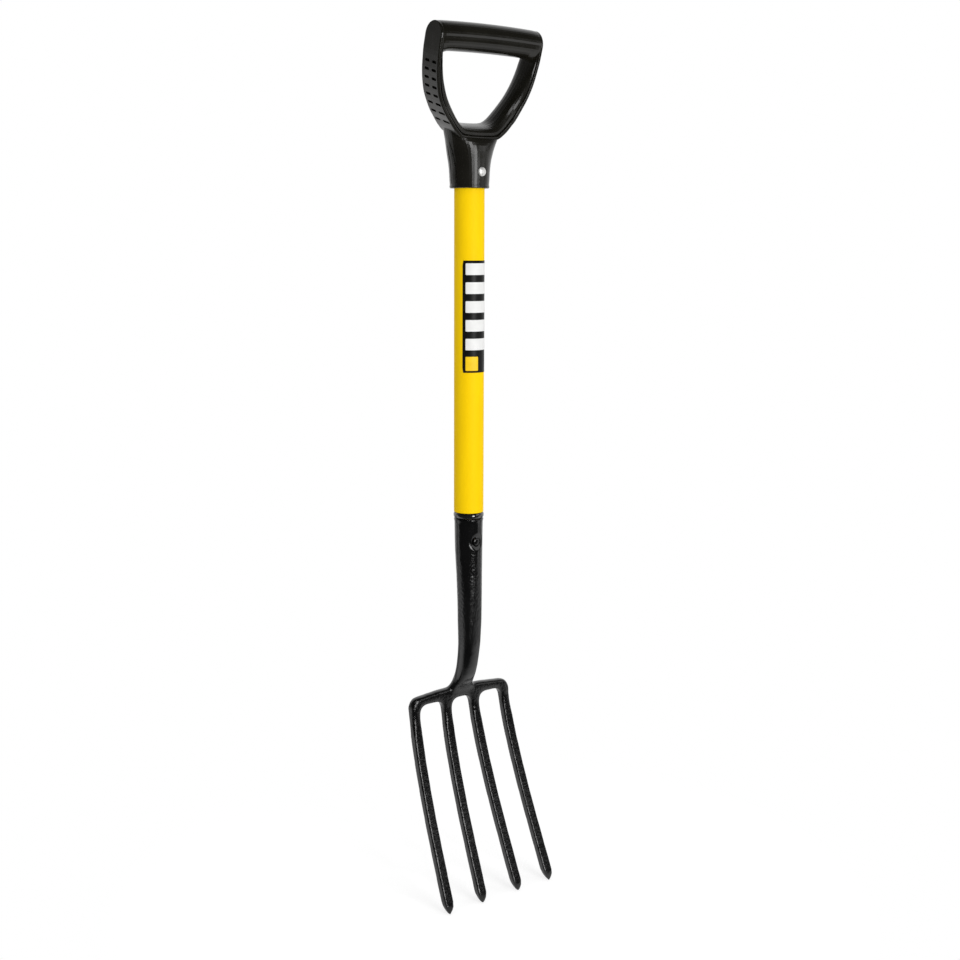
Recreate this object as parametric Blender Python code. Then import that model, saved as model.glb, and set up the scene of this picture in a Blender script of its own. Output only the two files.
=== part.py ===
"""Border fork: forged four-tine head, tube shaft and moulded D-handle.

Metres, +Z up, the tines' front towards -Y. The shaft's axis is X = Y = 0 while
the pieces are made, and the tine tips stand at Z = 0. At the end the whole fork
moves along Y until its box is centred on the origin.
"""

import math

import bmesh
import bpy
import numpy as np
from mathutils import Matrix, Vector

# Fits
CLEARANCE = 0.0003
EDGE_BREAK = 0.0004

# Lengths that stack up along the shaft
HEAD_HEIGHT = 0.4167
COLLAR_HEIGHT = 0.0059
SHAFT_LENGTH = 0.3898
SHAFT_IN_HANDLE = 0.0456

# Shaft tube
SHAFT_OUTER_RADIUS = 0.0160
SHAFT_WALL = 0.0025

# Collar ring between the tube and the steel socket
COLLAR_OUTER_RADIUS = 0.0165
COLLAR_BEAD = 0.0016

# Dowel that joins the tube to the steel socket
DOWEL_IN_TUBE = 0.0470
DOWEL_IN_SOCKET = 0.0717
DOWEL_FOOT_RADIUS = 0.0100
DOWEL_MOUTH_RADIUS = 0.0125
WOOD_CHAMFER = 0.0015

# Plug that keeps the tube round where the handle's rivet goes through
PLUG_BELOW_RIVET = 0.0280
PLUG_ABOVE_RIVET = 0.0240

# Rivets
RIVET_SHANK_RADIUS = 0.0025
HANDLE_RIVET_ABOVE_END = 0.0166
HANDLE_RIVET_HEAD_RADIUS = 0.0048
HANDLE_RIVET_HEAD_RISE = 0.0026
HANDLE_RIVET_TAIL_RADIUS = 0.0042
HANDLE_SEAT_DEPTH = 0.0007
WASHER_RADIUS = 0.0062
WASHER_THICKNESS = 0.0010
HEAD_RIVET_BELOW_MOUTH = 0.0252
HEAD_RIVET_HEAD_RADIUS = 0.0038
HEAD_RIVET_HEAD_RISE = 0.0013
HEAD_RIVET_FRONT_SEAT_DEPTH = 0.0021
HEAD_RIVET_BACK_SEAT_DEPTH = 0.0009
SEAT_MARGIN = 0.0006

# Dished dimple round the head's rivet
DIMPLE_HALF_WIDTH = 0.0150
DIMPLE_HALF_HEIGHT = 0.0056
DIMPLE_DEPTH = 0.0019

# Crossbar
ARCH_HEIGHT = 0.2102
ARCH_ROUND = 0.0095
CROSSBAR_HALF_WIDTH = 0.0675
CROSSBAR_THICKNESS = 0.0133
CROSSBAR_DEPTH = 0.0118
CROSSBAR_CORNER = 0.0032
CROSSBAR_END_CORNER = 0.0048
CROSSBAR_SETBACK = 0.0163
TREAD_INNER_X = 0.0300
TREAD_OUTER_X = 0.0572
TREAD_INNER_DROP = 0.0008
TREAD_OUTER_DROP = 0.0034
SHOULDER_DROP = 0.0146

# Tines
TINE_WIDTH = 0.0110
TINE_DEPTH = 0.0091
TINE_CORNER = 0.0014
TINE_REACH = 0.0766
TIP_LENGTH = 0.0130
OUTER_TINE_X_AT_TIP = 0.0696
OUTER_TINE_X_AT_ROOT = 0.0616
INNER_TINE_X_AT_TIP = 0.0248
INNER_TINE_X_AT_ROOT = 0.0188

# Steel socket and neck
STEEL_SOCKET_RADIUS = 0.0155
NECK_RADIUS = 0.0108
NECK_FOOT_HALF_WIDTH = 0.0230
SOCKET_LIP_HEIGHT = 0.0025
SOCKET_LIP_RISE = 0.0005

# D-handle
HANDLE_LEAN = math.radians(16.3)
D_HALF_WIDTH = 0.0656
D_HEIGHT = 0.0928
STRAP_THICKNESS = 0.0040
STRAP_HALF_DEPTH = 0.0145
STRAP_EDGE = 0.0014
LOOP_HALF_DEPTH = 0.0139
LOOP_INTO_STRAP = 0.0015
LOOP_GROOVE_WIDTH = 0.0011
LOOP_GROOVE_DEPTH = 0.0022
FOOT_BULGE = 0.0050
FOOT_BULGE_REACH = 0.0360
GRIP_RADIUS = 0.0147
GRIP_BOW = 0.0015
GRIP_FILLET = 0.0058
HANDLE_SOCKET_RADIUS = 0.0209
HANDLE_SOCKET_LENGTH = 0.0586
HANDLE_FLARE_HALF_WIDTH = 0.0330
HANDLE_LIP_HEIGHT = 0.0027

# Ladder of slots on the arms' outer faces
SLOT_ROWS = 8
SLOT_HEIGHT = 0.0028
SLOT_DEPTH = 0.0026
SLOT_FIRST_HEIGHT = 0.0101
SLOT_PITCH = 0.00824
SLOT_LENGTH_AT_FOOT = 0.0094
SLOT_LENGTH_AT_TOP = 0.0076
SLOT_FRONT_START = -0.0036
SLOT_REAR_START = 0.0010

# Flutes down the sides of the handle's socket
FLUTE_ANGLE = math.radians(13.0)
FLUTE_RADIUS = 0.0009

ROUND_STEPS = 48

# Heights that follow from the lengths above
SHAFT_BOTTOM = HEAD_HEIGHT + COLLAR_HEIGHT + 2 * CLEARANCE
SHAFT_TOP = SHAFT_BOTTOM + SHAFT_LENGTH
HANDLE_SOCKET_END = SHAFT_TOP - SHAFT_IN_HANDLE
HANDLE_RIVET_HEIGHT = HANDLE_SOCKET_END + HANDLE_RIVET_ABOVE_END
D_FOOT_HEIGHT = HANDLE_SOCKET_END + HANDLE_SOCKET_LENGTH - CLEARANCE
HEAD_RIVET_HEIGHT = HEAD_HEIGHT - HEAD_RIVET_BELOW_MOUTH
DOWEL_FOOT = HEAD_HEIGHT - DOWEL_IN_SOCKET
HANDLE_RIVET_SEAT = HANDLE_SOCKET_RADIUS + 0.4 * CLEARANCE - HANDLE_SEAT_DEPTH + EDGE_BREAK
CROSSBAR_TOP = ARCH_HEIGHT + CROSSBAR_THICKNESS


def clear_scene():
    for obj in list(bpy.data.objects):
        bpy.data.objects.remove(obj, do_unlink=True)


def smooth_step(low, high, value):
    share = min(1.0, max(0.0, (value - low) / (high - low)))
    return share * share * (3.0 - 2.0 * share)


def object_from(bm, name):
    """A linked object from the bmesh, with its faces turned outwards."""
    if bm.calc_volume(signed=True) < 0:
        bmesh.ops.reverse_faces(bm, faces=bm.faces)
    mesh = bpy.data.meshes.new(name)
    bm.to_mesh(mesh)
    bm.free()
    obj = bpy.data.objects.new(name, mesh)
    bpy.context.scene.collection.objects.link(obj)
    return obj


def skin(bm, rings):
    """Adds a closed body to the bmesh: rings of equal point counts with both ends filled."""
    made = [[bm.verts.new(point) for point in ring] for ring in rings]
    for lower, upper in zip(made, made[1:]):
        for i in range(len(lower)):
            j = (i + 1) % len(lower)
            bm.faces.new((lower[i], lower[j], upper[j], upper[i]))
    bm.faces.new(made[0][::-1])
    bm.faces.new(made[-1])


def loft(name, rings):
    bm = bmesh.new()
    skin(bm, rings)
    return object_from(bm, name)


def turned(name, profile, steps=ROUND_STEPS, closed=False):
    """Turns (radius, height) points about Z. An open profile starts and ends on the axis."""
    bm = bmesh.new()
    rings = []
    for radius, height in profile:
        if radius == 0.0:
            rings.append([bm.verts.new((0.0, 0.0, height))])
            continue
        ring = []
        for k in range(steps):
            angle = 2.0 * math.pi * k / steps
            ring.append(bm.verts.new((radius * math.cos(angle), radius * math.sin(angle), height)))
        rings.append(ring)
    pairs = list(zip(rings, rings[1:]))
    if closed:
        pairs.append((rings[-1], rings[0]))
    for lower, upper in pairs:
        for i in range(steps):
            j = (i + 1) % steps
            if len(lower) == 1:
                bm.faces.new((lower[0], upper[j], upper[i]))
            elif len(upper) == 1:
                bm.faces.new((lower[i], lower[j], upper[0]))
            else:
                bm.faces.new((lower[i], lower[j], upper[j], upper[i]))
    return object_from(bm, name)


def aim_back(obj, height):
    """Turns an object made along +Z so that it runs front to back at this height."""
    obj.data.transform(Matrix.Translation((0.0, 0.0, height)) @ Matrix.Rotation(-math.pi / 2, 4, "X"))
    return obj


def combine(body, tool, operation):
    """Joins the tool to the body or cuts it out, and drops the tool."""
    modifier = body.modifiers.new("shape", "BOOLEAN")
    modifier.operation = operation
    modifier.solver = "EXACT"
    modifier.object = tool
    graph = bpy.context.evaluated_depsgraph_get()
    shaped = bpy.data.meshes.new_from_object(body.evaluated_get(graph))
    body.modifiers.clear()
    body.data = shaped
    bpy.data.objects.remove(tool, do_unlink=True)


def finish(obj, material):
    """Gives the piece its material and smooth shading with crisp edges."""
    obj.data.materials.clear()
    obj.data.materials.append(material)
    obj.data.shade_smooth()
    obj.data.set_sharp_from_angle(angle=math.radians(38.0))


def make_material(name, colour, metallic, roughness):
    material = bpy.data.materials.new(name)
    material.use_nodes = True
    shader = material.node_tree.nodes["Principled BSDF"]
    shader.inputs["Base Color"].default_value = (*colour, 1.0)
    shader.inputs["Metallic"].default_value = metallic
    shader.inputs["Roughness"].default_value = roughness
    return material


def rounded_rectangle(half_width, half_height, corner, corner_steps=3):
    """Points of a rectangle with rounded corners, going round once."""
    corner = min(corner, 0.98 * half_width, 0.98 * half_height)
    points = []
    for quarter, (sx, sy) in enumerate(((1, 1), (-1, 1), (-1, -1), (1, -1))):
        for k in range(corner_steps + 1):
            angle = (quarter + k / corner_steps) * math.pi / 2
            points.append(
                (
                    sx * (half_width - corner) + corner * math.cos(angle),
                    sy * (half_height - corner) + corner * math.sin(angle),
                )
            )
    return points


def squared_circle(half_x, half_y, power, steps=ROUND_STEPS):
    """Points of an ellipse that squares up as the power rises above two."""
    points = []
    for k in range(steps):
        angle = 2.0 * math.pi * k / steps
        c, s = math.cos(angle), math.sin(angle)
        points.append(
            (
                half_x * math.copysign(abs(c) ** (2.0 / power), c),
                half_y * math.copysign(abs(s) ** (2.0 / power), s),
            )
        )
    return points


def curve_through(knots, pieces):
    """A smooth curve through the knots, each span cut into this many pieces."""
    knots = [np.array(k, float) for k in knots]
    ends = [2 * knots[0] - knots[1], *knots, 2 * knots[-1] - knots[-2]]
    points = []
    for a, b, c, d in zip(ends, ends[1:], ends[2:], ends[3:]):
        for k in range(pieces):
            t = k / pieces
            points.append(
                0.5 * (2 * b + (c - a) * t + (2 * a - 5 * b + 4 * c - d) * t**2 + (3 * b - 3 * c + d - a) * t**3)
            )
    points.append(knots[-1])
    return np.array(points)


# Fork head

# share of the arch height, share of the reach that is still to go
TINE_CURVE = curve_through(
    ((0.0, 1.0), (0.236, 0.714), (0.472, 0.438), (0.708, 0.199), (0.873, 0.065), (0.981, 0.004), (1.1, 0.0)), 8
)


def tine_line(height):
    """How far back the tines' middle line is at this height."""
    left = np.interp(height / ARCH_HEIGHT, TINE_CURVE[:, 0], TINE_CURVE[:, 1])
    return CROSSBAR_SETBACK - TINE_REACH * float(left)


def tine_x(at_tip, at_root, height):
    return at_tip + (at_root - at_tip) * height / ARCH_HEIGHT


def tine(name, x_at_tip, x_at_root, top):
    """One tine from its ogive tip to its top inside the crossbar, thickening at the root."""
    heights = [TIP_LENGTH * share for share in (0.0, 0.03, 0.09, 0.2, 0.36, 0.56, 0.78, 1.0)]
    body = ARCH_HEIGHT - TIP_LENGTH
    heights += [TIP_LENGTH + body * share for share in (0.09, 0.18, 0.27, 0.36, 0.45, 0.54, 0.63, 0.72, 0.8)]
    heights += [TIP_LENGTH + body * share for share in (0.85, 0.89, 0.93, 0.96)]
    rings = []
    for height in [*heights, top]:
        share = min(1.0, height / TIP_LENGTH)
        taper = max(0.09, (share * (2.0 - share)) ** 0.72)
        root = smooth_step(0.84, 1.0, height / ARCH_HEIGHT)
        middle = tine_x(x_at_tip, x_at_root, height)
        half_depth = (TINE_DEPTH + (0.93 * CROSSBAR_DEPTH - TINE_DEPTH) * root) / 2 * taper
        section = rounded_rectangle(TINE_WIDTH / 2 * taper, half_depth, TINE_CORNER * taper)
        rings.append([(middle + x, tine_line(height) + y, height) for x, y in section])
    return loft(name, rings)


def crossbar_top(x):
    """Height of the crossbar's upper edge, with a straight tread on each shoulder."""
    x = abs(x)
    if x <= TREAD_INNER_X:
        return CROSSBAR_TOP - TREAD_INNER_DROP * (x / TREAD_INNER_X) ** 2
    if x <= TREAD_OUTER_X:
        share = (x - TREAD_INNER_X) / (TREAD_OUTER_X - TREAD_INNER_X)
        return CROSSBAR_TOP - TREAD_INNER_DROP - (TREAD_OUTER_DROP - TREAD_INNER_DROP) * share
    share = min(1.0, (x - TREAD_OUTER_X) / (CROSSBAR_HALF_WIDTH - TREAD_OUTER_X))
    return CROSSBAR_TOP - TREAD_OUTER_DROP - (SHOULDER_DROP - TREAD_OUTER_DROP) * (1.0 - math.sqrt(1.0 - share**2))


def crossbar_stations():
    """(x, underside height) along the bar: flat arches with round corners between the tines."""
    foot = ARCH_HEIGHT - 0.96 * ARCH_ROUND
    inner = tine_x(INNER_TINE_X_AT_TIP, INNER_TINE_X_AT_ROOT, foot)
    outer = tine_x(OUTER_TINE_X_AT_TIP, OUTER_TINE_X_AT_ROOT, foot)
    half = 0.46 * TINE_WIDTH
    arches = ((-outer + half, -inner - half), (-inner + half, inner - half), (inner + half, outer - half))
    quarter = [k / 8 * math.pi / 2 for k in range(9)]
    stations = []
    for start, end in arches:
        for angle in quarter:
            rise = ARCH_HEIGHT - ARCH_ROUND * (1.0 - math.sin(angle))
            stations.append((start + ARCH_ROUND * (1.0 - math.cos(angle)), rise))
            stations.append((end - ARCH_ROUND * (1.0 - math.cos(angle)), rise))
    for x in (TREAD_INNER_X, TREAD_OUTER_X):
        stations += [(x, ARCH_HEIGHT), (-x, ARCH_HEIGHT)] if inner + half + ARCH_ROUND < x < outer - half - ARCH_ROUND else []
    begin = outer - 0.2 * TINE_WIDTH
    for share in (0.0, 0.25, 0.48, 0.66, 0.8, 0.9, 0.965, 0.995):
        x = begin + (CROSSBAR_HALF_WIDTH - begin) * share
        low = foot + 0.35 * (CROSSBAR_TOP - SHOULDER_DROP - foot) * share**3
        stations += [(x, low), (-x, low)]
    stations += [(inner, foot), (-inner, foot)]
    return sorted(stations)


def crossbar():
    rings = []
    for x, low in crossbar_stations():
        high = crossbar_top(x)
        near_end = smooth_step(0.9 * CROSSBAR_HALF_WIDTH, CROSSBAR_HALF_WIDTH, abs(x))
        half_depth = CROSSBAR_DEPTH / 2 * (1.0 - 0.07 * near_end)
        corner = CROSSBAR_CORNER + (CROSSBAR_END_CORNER - CROSSBAR_CORNER) * near_end
        section = rounded_rectangle(half_depth, (high - low) / 2, corner)
        middle = (high + low) / 2
        rings.append([(x, tine_line(middle + z) + d, middle + z) for d, z in section])
    return loft("crossbar", rings)


def neck():
    """Round at the socket's mouth, squaring up and sweeping back into the crossbar."""
    # share of the height from arch to mouth, half width and half depth as shares of the
    # neck's radius, how far back as a share of the crossbar's setback, squareness
    foot = NECK_FOOT_HALF_WIDTH / NECK_RADIUS
    full = STEEL_SOCKET_RADIUS / NECK_RADIUS
    knots = (
        (0.006, 1.02 * foot, 0.50, 1.00, 3.2),
        (0.028, 0.98 * foot, 0.555, 1.00, 3.2),
        (0.048, 0.83 * foot, 0.60, 0.96, 3.1),
        (0.068, 0.66 * foot, 0.67, 0.86, 3.1),
        (0.090, 0.53 * foot, 0.79, 0.68, 3.2),
        (0.117, 1.00, 0.89, 0.50, 3.3),
        (0.147, 0.965, 0.945, 0.32, 3.1),
        (0.191, 0.98, 0.98, 0.15, 2.9),
        (0.254, 1.01, 1.01, 0.0, 2.8),
        (0.318, 1.045, 1.045, -0.10, 2.7),
        (0.381, 1.085, 1.085, -0.12, 2.6),
        (0.445, 1.14, 1.14, -0.13, 2.5),
        (0.508, 1.165, 1.165, -0.13, 2.4),
        (0.572, 1.20, 1.20, -0.12, 2.3),
        (0.635, 1.24, 1.24, -0.10, 2.2),
        (0.703, 1.285, 1.285, -0.07, 2.1),
        (0.767, 0.942 * full, 0.942 * full, -0.04, 2.0),
        (0.830, 0.968 * full, 0.968 * full, -0.01, 2.0),
        (0.894, 0.981 * full, 0.981 * full, 0.0, 2.0),
        (0.957, 0.994 * full, 0.994 * full, 0.0, 2.0),
    )
    run = HEAD_HEIGHT - ARCH_HEIGHT
    rings = []
    for share, half_x, half_y, back, power in knots:
        section = squared_circle(half_x * NECK_RADIUS, half_y * NECK_RADIUS, power)
        height = ARCH_HEIGHT + share * run
        rings.append([(x, back * CROSSBAR_SETBACK + y, height) for x, y in section])
    lip = STEEL_SOCKET_RADIUS + SOCKET_LIP_RISE
    for radius, height in (
        (STEEL_SOCKET_RADIUS, HEAD_HEIGHT - SOCKET_LIP_HEIGHT - SOCKET_LIP_RISE),
        (lip, HEAD_HEIGHT - SOCKET_LIP_HEIGHT),
        (lip, HEAD_HEIGHT - EDGE_BREAK),
        (lip - EDGE_BREAK, HEAD_HEIGHT),
    ):
        rings.append([(x, y, height) for x, y in squared_circle(radius, radius, 2.0)])
    return loft("neck", rings)


def socket_bore():
    """The tapered hole for the dowel, a little wider than it all the way."""
    foot = DOWEL_FOOT_RADIUS + CLEARANCE
    mouth = DOWEL_MOUTH_RADIUS + CLEARANCE
    past = 2 * EDGE_BREAK
    profile = (
        (0.0, DOWEL_FOOT - CLEARANCE),
        (foot, DOWEL_FOOT - CLEARANCE),
        (mouth, HEAD_HEIGHT - EDGE_BREAK),
        (mouth + past + EDGE_BREAK, HEAD_HEIGHT + past),
        (0.0, HEAD_HEIGHT + past),
    )
    return turned("bore", profile)


def dimple():
    """A shallow dish across the front of the socket."""
    steps = 16
    profile = [(0.0, -1.0)]
    for k in range(1, steps):
        angle = math.pi * k / steps
        profile.append((math.sin(angle), -math.cos(angle)))
    profile.append((0.0, 1.0))
    dish = turned("dimple", profile, 36)
    size = Matrix.Diagonal((DIMPLE_HALF_WIDTH, DIMPLE_DEPTH, DIMPLE_HALF_HEIGHT, 1.0))
    dish.data.transform(Matrix.Translation((0.0, -STEEL_SOCKET_RADIUS, HEAD_RIVET_HEIGHT)) @ size)
    return dish


def rivet_cutter(height, front_seat, back_seat, front_radius, back_radius, reach):
    """A rivet's hole with a flat seat at the front and at the back."""
    hole = RIVET_SHANK_RADIUS + CLEARANCE
    profile = (
        (0.0, -reach),
        (front_radius, -reach),
        (front_radius, -front_seat),
        (hole, -front_seat),
        (hole, back_seat),
        (back_radius, back_seat),
        (back_radius, reach),
        (0.0, reach),
    )
    return aim_back(turned("rivet_cutter", profile, 28), height)


def cross_hole(height):
    hole = RIVET_SHANK_RADIUS + CLEARANCE
    reach = 1.2 * SHAFT_OUTER_RADIUS
    profile = ((0.0, -reach), (hole, -reach), (hole, reach), (0.0, reach))
    return aim_back(turned("cross_hole", profile, 28), height)


def fork_head():
    head = crossbar()
    head.name = "fork_head"
    shoulder = CROSSBAR_TOP - SHOULDER_DROP
    for side in (-1, 1):
        combine(head, tine("outer_tine", side * OUTER_TINE_X_AT_TIP, side * OUTER_TINE_X_AT_ROOT, shoulder), "UNION")
        middle = ARCH_HEIGHT + 0.2 * CROSSBAR_THICKNESS
        combine(head, tine("inner_tine", side * INNER_TINE_X_AT_TIP, side * INNER_TINE_X_AT_ROOT, middle), "UNION")
    combine(head, neck(), "UNION")
    combine(head, socket_bore(), "DIFFERENCE")
    combine(head, dimple(), "DIFFERENCE")
    seat = HEAD_RIVET_HEAD_RADIUS + SEAT_MARGIN
    cutter = rivet_cutter(
        HEAD_RIVET_HEIGHT,
        STEEL_SOCKET_RADIUS - HEAD_RIVET_FRONT_SEAT_DEPTH,
        STEEL_SOCKET_RADIUS - HEAD_RIVET_BACK_SEAT_DEPTH,
        seat,
        seat,
        1.5 * STEEL_SOCKET_RADIUS,
    )
    combine(head, cutter, "DIFFERENCE")
    return head


def rivet(name, height, front, back, head_radius, head_rise, tail_radius):
    """Domed head at the front, plain shank and formed tail at the back."""
    tail_rise = 0.8 * head_rise
    rim = 0.15 * head_rise
    profile = [(0.0, -front - head_rise)]
    for k in range(1, 7):
        angle = k / 6 * math.pi / 2
        profile.append((head_radius * math.sin(angle) ** 0.9, -front - rim - (head_rise - rim) * math.cos(angle)))
    profile += [(head_radius, -front), (RIVET_SHANK_RADIUS, -front), (RIVET_SHANK_RADIUS, back)]
    profile += [(tail_radius, back), (tail_radius, back + rim)]
    for k in range(1, 5):
        angle = k / 5 * math.pi / 2
        profile.append((tail_radius * math.cos(angle), back + rim + (tail_rise - rim) * math.sin(angle)))
    profile.append((0.0, back + tail_rise))
    return aim_back(turned(name, profile, 32), height)


# Handle


def leaned(x, along, depth):
    """A point given in the D's leaning plane: across, up the plane and behind it."""
    s, c = math.sin(HANDLE_LEAN), math.cos(HANDLE_LEAN)
    return Vector((x, -s * along + c * depth, D_FOOT_HEIGHT + c * along + s * depth))


def foot_bulge(along):
    """How much further forwards the D's front face stands near its foot."""
    return FOOT_BULGE * (1.0 - smooth_step(0.0, FOOT_BULGE_REACH, along))


def outer_outline():
    """Right half of the D's outline in its own plane, from the middle of the foot up."""
    knots = (
        (0.0, -0.052),
        (0.160, -0.050),
        (0.285, -0.046),
        (0.365, -0.036),
        (0.418, -0.014),
        (0.464, 0.014),
        (0.509, 0.043),
        (0.556, 0.078),
        (0.619, 0.130),
        (0.684, 0.180),
        (0.777, 0.276),
        (0.855, 0.374),
        (0.907, 0.472),
        (0.944, 0.568),
        (0.968, 0.663),
        (0.985, 0.763),
        (0.997, 0.853),
        (1.0, 1.0),
    )
    return curve_through(knots, 2) * (D_HALF_WIDTH, D_HEIGHT)


def inner_outline():
    """Right half of the hand opening's outline, from the middle of its floor up."""
    knots = (
        (0.0, 0.081),
        (0.152, 0.083),
        (0.265, 0.093),
        (0.350, 0.119),
        (0.415, 0.160),
        (0.480, 0.218),
        (0.546, 0.286),
        (0.633, 0.377),
        (0.709, 0.474),
        (0.772, 0.571),
        (0.824, 0.668),
        (0.868, 0.765),
        (0.899, 0.851),
        (0.910, 0.970),
    )
    return curve_through(knots, 2) * (D_HALF_WIDTH, D_HEIGHT)


def outward(outline):
    """Unit normals of a half outline, pointing out of the D."""
    run = np.gradient(outline, axis=0)
    run /= np.linalg.norm(run, axis=1)[:, None]
    normals = np.stack([run[:, 1], -run[:, 0]], axis=1)
    normals[0] = (0.0, -1.0)
    return normals


def mirrored(rings):
    """Adds the left half to rings that start on the middle line."""
    left = [[Vector((-p.x, p.y, p.z)) for p in ring] for ring in reversed(rings[1:])]
    return left + rings


def strap():
    """The flat outer strap: a U whose two ends are round, like the bar they hold."""
    line = outer_outline()
    stations = [(x, v, nx, nv, STRAP_HALF_DEPTH) for (x, v), (nx, nv) in zip(line, outward(line))]
    x, v = line[-1]
    for k in range(1, 10):
        angle = k / 9.4 * math.pi / 2
        up = STRAP_HALF_DEPTH * math.sin(angle)
        inward = 0.12 * STRAP_THICKNESS * (1.0 - math.cos(angle))
        stations.append((x - inward, v + up, 1.0, 0.0, STRAP_HALF_DEPTH * math.cos(angle)))
    rings = []
    for x, v, nx, nv, half_depth in stations:
        ring = []
        more = foot_bulge(v) / 2
        for a, depth in rounded_rectangle(STRAP_THICKNESS / 2, half_depth + more, STRAP_EDGE):
            out = a - STRAP_THICKNESS / 2
            ring.append(leaned(x + nx * out, v + nv * out, depth - more))
        rings.append(ring)
    return loft("strap", mirrored(rings))


def loop_section(thickness, bulge):
    """Half a rounded bulge on a narrower root: (distance in from the strap, depth) points."""
    root = LOOP_HALF_DEPTH - LOOP_GROOVE_DEPTH
    step = min(LOOP_GROOVE_WIDTH, 0.3 * thickness)
    points = [(-LOOP_INTO_STRAP, -root - bulge), (step, -root - bulge)]
    steps = 12
    for k in range(steps + 1):
        angle = (k / steps - 0.5) * math.pi
        c, s = max(0.0, math.cos(angle)), math.sin(angle)
        inwards = step + (thickness - step) * c ** (2.0 / 2.6)
        reach = LOOP_HALF_DEPTH + (bulge if s < 0.0 else 0.0)
        points.append((inwards, reach * math.copysign(abs(s) ** (2.0 / 2.6), s)))
    points += [(step, root), (-LOOP_INTO_STRAP, root)]
    return points


def inner_loop():
    """The bulging loop inside the strap, parted from it by a groove and thickest at the floor."""
    line = inner_outline()
    outer = outer_outline()
    rings = []
    for (x, v), (nx, nv) in zip(line, outward(line)):
        wall = float(np.linalg.norm(outer - (x, v), axis=1).min())
        thickness = max(0.3 * STRAP_THICKNESS, wall - STRAP_THICKNESS)
        ring = []
        for inwards, depth in loop_section(thickness, foot_bulge(v)):
            out = thickness - inwards
            ring.append(leaned(x + nx * out, v + nv * out, depth))
        rings.append(ring)
    return loft("inner_loop", mirrored(rings))


def grip():
    """The bar: a full round, bowed upwards between the arms, with a fillet under each end."""
    half_length = D_HALF_WIDTH - 0.4 * STRAP_THICKNESS
    end_radius = STRAP_HALF_DEPTH - 0.5 * EDGE_BREAK
    rings = []
    for k in range(25):
        across = k / 12 - 1.0
        share = math.copysign(abs(across) ** 0.8, across)
        far = abs(share)
        axis = D_HEIGHT + GRIP_BOW * (1.0 - far**2)
        radius = GRIP_RADIUS + (end_radius - GRIP_RADIUS) * smooth_step(0.9, 1.0, far)
        fillet = GRIP_FILLET * smooth_step(0.70, 0.98, far) ** 1.8
        ring = []
        for j in range(40):
            angle = 2.0 * math.pi * j / 40
            lift = radius * math.sin(angle)
            lift -= fillet * max(0.0, -math.sin(angle)) ** 2
            ring.append(leaned(share * half_length, axis + lift, radius * math.cos(angle)))
        rings.append(ring)
    return loft("grip", rings)


def handle_socket():
    """The round socket: it spreads sideways and tips forwards as it meets the D."""
    # share of the socket's length, half width and half depth as shares of its radius,
    # how far forwards as a share of its radius, squareness, rise of the sides as a share
    # of the socket's length
    wide = HANDLE_FLARE_HALF_WIDTH / HANDLE_SOCKET_RADIUS
    knots = (
        (0.15, 1.005, 1.005, 0.0, 2.0, 0.0),
        (0.27, 1.024, 1.019, 0.0, 2.0, 0.0),
        (0.35, 1.043, 1.029, 0.0, 2.0, 0.0),
        (0.44, 1.081, 1.043, 0.0, 2.0, 0.0),
        (0.51, 1.124, 1.057, 0.0, 2.0, 0.0),
        (0.59, 0.752 * wide, 1.067, 0.01, 2.0, 0.0),
        (0.66, 0.786 * wide, 1.072, 0.02, 2.0, 0.0),
        (0.73, 0.824 * wide, 1.058, 0.04, 2.05, 0.006),
        (0.80, 0.862 * wide, 1.036, 0.06, 2.15, 0.018),
        (0.86, 0.898 * wide, 1.000, 0.07, 2.35, 0.034),
        (0.91, 0.930 * wide, 0.930, 0.07, 2.6, 0.052),
        (0.95, 0.952 * wide, 0.830, 0.06, 2.9, 0.070),
        (0.975, 0.966 * wide, 0.730, 0.05, 3.1, 0.080),
        (0.99, 0.972 * wide, 0.600, 0.04, 3.3, 0.088),
    )
    lip = HANDLE_LIP_HEIGHT
    groove = HANDLE_SOCKET_RADIUS - 0.75 * EDGE_BREAK
    rings = []
    for radius, up in (
        (HANDLE_SOCKET_RADIUS - 2 * EDGE_BREAK, 0.0),
        (HANDLE_SOCKET_RADIUS - 0.25 * EDGE_BREAK, 1.7 * EDGE_BREAK),
        (HANDLE_SOCKET_RADIUS, lip),
        (groove, lip + EDGE_BREAK),
    ):
        rings.append([(x, y, HANDLE_SOCKET_END + up) for x, y in squared_circle(radius, radius, 2.0)])
    for share, half_x, half_y, forward, power, rise in knots:
        tip = HANDLE_LEAN * smooth_step(0.5, 0.99, share)
        half_width = half_x * HANDLE_SOCKET_RADIUS
        ring = []
        for x, y in squared_circle(half_width, half_y * HANDLE_SOCKET_RADIUS, power):
            up = HANDLE_SOCKET_LENGTH * rise * (x / half_width) ** 2
            ahead = forward * HANDLE_SOCKET_RADIUS + up * math.sin(tip)
            height = HANDLE_SOCKET_END + share * HANDLE_SOCKET_LENGTH + up * math.cos(tip)
            ring.append((x, y * math.cos(tip) - ahead, height + y * math.sin(tip)))
        rings.append(ring)
    return loft("handle_socket", rings)


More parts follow.
